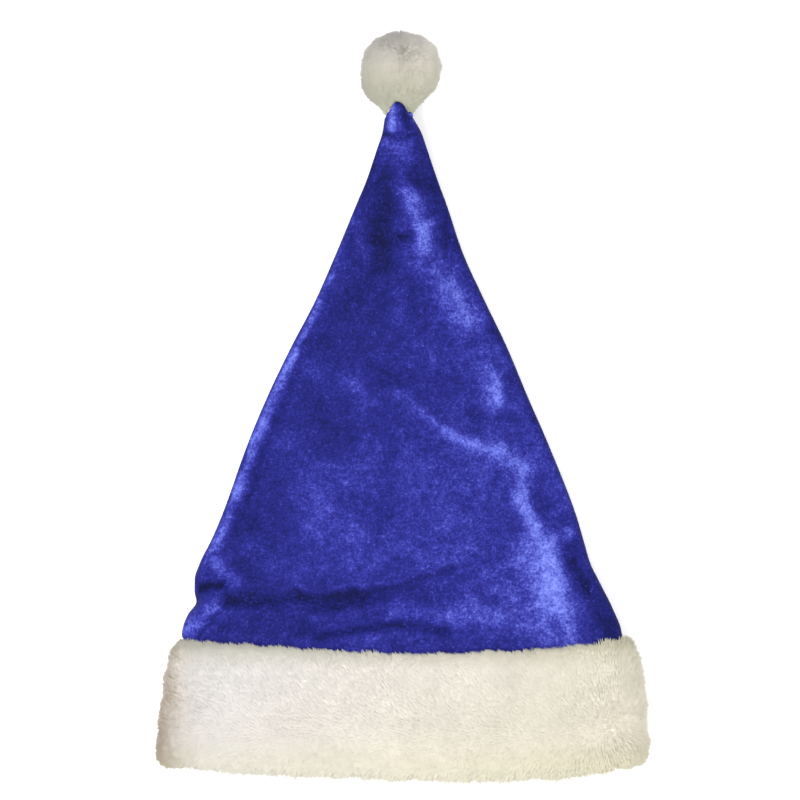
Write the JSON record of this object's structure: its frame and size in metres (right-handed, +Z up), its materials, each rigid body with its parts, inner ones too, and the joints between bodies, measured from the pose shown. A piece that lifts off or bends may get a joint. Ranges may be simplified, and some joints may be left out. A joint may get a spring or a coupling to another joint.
{
  "type": "santa hat",
  "caption": "Blue velour santa hat lying flat, with a cream plush band round the brim and a cream plush pompom at the tip.",
  "frame": {"origin": "on the floor under the middle of the hat's box", "axes": "+Y from the brim to the tip, +Z up from the floor, +X to the right seen from above"},
  "size_m": [0.2901, 0.4421, 0.0483],
  "materials": {
    "velour_blue": "crushed pile, sheen",
    "plush_cream": "dense short plush pile",
    "plush_pompom": "dense plush pile"
  },
  "bodies": {
    "root": {"crown": "velour_blue", "fur_band": "plush_cream", "pompom": "plush_pompom"}
  },
  "joints": []
}
